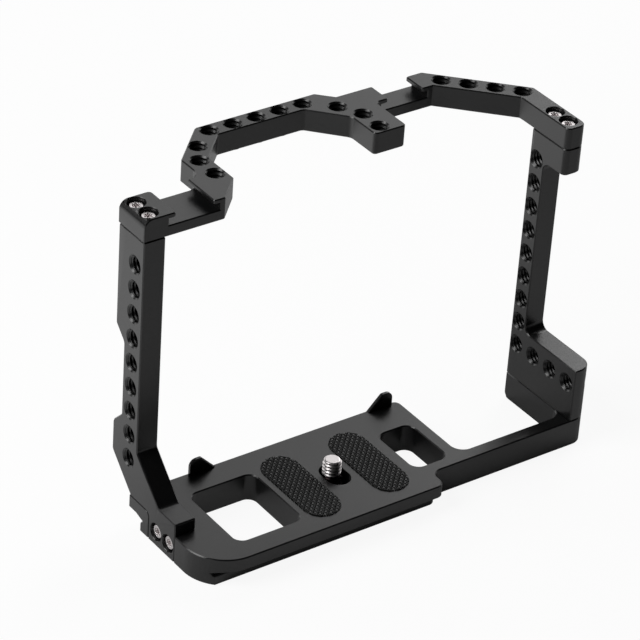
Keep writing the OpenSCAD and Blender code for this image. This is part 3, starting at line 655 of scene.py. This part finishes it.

# Tripod screw: turned from bright steel, with a coin slot in its head under the plate and a
# quarter inch thread above it. The thread is duller than the other screws, and its colour is
# darkened with painted shade where it stands in the plate's slot.
slot_bright_z = 0.0103
slot_dark_z = 0.0093
steel = bpy.data.materials.new("bright_steel")
steel.use_nodes = True
tree = steel.node_tree
shader = tree.nodes["Principled BSDF"]
shader.inputs["Metallic"].default_value = 1.0
turned = tree.nodes.new("ShaderNodeGroup")
turned.node_tree = grain
turned.inputs["Grain Size"].default_value = 1800.0
bright = tree.nodes.new("ShaderNodeMix")
bright.data_type = "RGBA"
bright.inputs["A"].default_value = (0.72, 0.68, 0.68, 1)
bright.inputs["B"].default_value = (0.90, 0.86, 0.86, 1)
polish = tree.nodes.new("ShaderNodeMapRange")
polish.name = "polish"
polish.inputs["To Min"].default_value = 0.22
polish.inputs["To Max"].default_value = 0.32
tree.links.new(turned.outputs["Tone"], bright.inputs["Factor"])
tree.links.new(bright.outputs["Result"], shader.inputs["Base Color"])
tree.links.new(turned.outputs["Tone"], polish.inputs["Value"])
tree.links.new(polish.outputs["Result"], shader.inputs["Roughness"])

thread_steel = steel.copy()
thread_steel.name = "thread_steel"
tree = thread_steel.node_tree
shader = tree.nodes["Principled BSDF"]
tree.nodes["polish"].inputs["To Min"].default_value = 0.30
tree.nodes["polish"].inputs["To Max"].default_value = 0.38
place = tree.nodes.new("ShaderNodeTexCoord")
parts = tree.nodes.new("ShaderNodeSeparateXYZ")
# Painted shade: below the plate's face the thread's colour turns near black.
in_slot = tree.nodes.new("ShaderNodeMapRange")
in_slot.inputs["From Min"].default_value = slot_bright_z
in_slot.inputs["From Max"].default_value = slot_dark_z
painted_slot_shade = tree.nodes.new("ShaderNodeMix")
painted_slot_shade.data_type = "RGBA"
painted_slot_shade.inputs["B"].default_value = (0.020, 0.014, 0.014, 1)
bare = shader.inputs["Base Color"].links[0].from_socket
tree.links.new(place.outputs["Object"], parts.inputs["Vector"])
tree.links.new(parts.outputs["Z"], in_slot.inputs["Value"])
tree.links.new(in_slot.outputs["Result"], painted_slot_shade.inputs["Factor"])
tree.links.new(bare, painted_slot_shade.inputs["A"])
tree.links.new(painted_slot_shade.outputs["Result"], shader.inputs["Base Color"])

screw_low, screw_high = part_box("camera_screw")
screw_middle = (screw_low + screw_high) / 2
screw_middle.z = 0
shank_z = 0.00585
major_r = 0.003175
minor_r = 0.00245
tip_z = screw_high.z
tip_flat_r = 0.00225
tip_round_r = 0.0007
head_edge_w = 0.0002
screw = whole_copy("camera_screw")
cut_across(screw, straight_up * shank_z, straight_up, clear=True)
bmesh.ops.holes_fill(screw, edges=[e for e in screw.edges if e.is_boundary], sides=0)
break_edges(screw, head_edge_w)

shank = bmesh.new()
turns = 10
start = shank_z - thread_pitch
ridge_line = [(minor_r, 0), (minor_r, 0.10), (major_r, 0.43),
              (major_r, 0.57), (minor_r, 0.90), (minor_r, 1)]
profile = [shank.verts.new((r, 0, start + thread_pitch * part)) for r, part in ridge_line]
lines = [shank.edges.new(profile[i:i + 2]) for i in range(len(profile) - 1)]
bmesh.ops.spin(shank, geom=profile + lines, axis=(0, 0, 1), cent=(0, 0, 0),
               dvec=(0, 0, thread_pitch / spin_steps), angle=math.tau * turns, steps=spin_steps * turns)
bmesh.ops.remove_doubles(shank, verts=shank.verts, dist=spin_weld)
cut_across(shank, straight_up * shank_z, -straight_up, clear=True)
cut_across(shank, straight_up * tip_z, straight_up, clear=True)
for part in (0.03, 0.10, 0.22, 0.40, 0.65, 1):
    cut_across(shank, straight_up * (tip_z - tip_round_r * part), straight_up)
for vert in shank.verts:
    reach = math.hypot(vert.co.x, vert.co.y)
    under = tip_z - vert.co.z
    rounded = math.sqrt(max(tip_round_r ** 2 - max(tip_round_r - under, 0) ** 2, 0))
    limit = tip_flat_r + rounded + max(under - tip_round_r, 0)
    if reach > limit:
        vert.co.x *= limit / reach
        vert.co.y *= limit / reach
bmesh.ops.remove_doubles(shank, verts=shank.verts, dist=spin_weld)
bmesh.ops.holes_fill(shank, edges=[e for e in shank.edges if e.is_boundary], sides=0)
bmesh.ops.translate(shank, verts=shank.verts, vec=screw_middle)
bmesh.ops.recalc_face_normals(shank, faces=shank.faces)
shank_data = bpy.data.meshes.new("shank")
shank.to_mesh(shank_data)
shank.free()
screw.from_mesh(shank_data)
screw = make_piece("threaded_camera_screw", screw, thread_steel)
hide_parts("camera_screw")
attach(screw, "tripod_screw")

# Retaining ring: an open spring ring, stamped from steel. It is snapped on to the tripod screw's
# neck and keeps the screw in its slot.
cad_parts["retaining_ring"].data.materials.clear()
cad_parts["retaining_ring"].data.materials.append(steel)

# Assembly screws: steel, with a low head that has a rounded rim and a six-lobe socket. They are
# sunk in their seats, and hold the bridge, the foot and the cross arm.
head_r = 0.00235
rim_round = 0.00025
socket_edge_w = 0.0001
for place_name in ("left_top", "right_top", "left_foot", "right_base"):
    for end in ("near", "far"):
        node = place_name + "_screw_" + end
        low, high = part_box(node)
        middle = (low + high) / 2
        along = along_x if place_name == "left_foot" else straight_up
        cap = whole_copy(node)
        around = []
        for vert in cap.verts:
            depth = along * (vert.co - middle).dot(along)
            aside = vert.co - middle - depth
            if aside.length > head_r:
                vert.co = middle + depth + aside.normalized() * head_r
                around.append(vert)
        rim = [e for e in cap.edges
               if e.calc_face_angle() > chamfer_from and all(v in around for v in e.verts)]
        bevel_edges(cap, rim, rim_round, 3)
        break_edges(cap, socket_edge_w)
        cap = make_piece("cap_" + node, cap, steel)
        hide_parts(node)
        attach(cap, "cage")
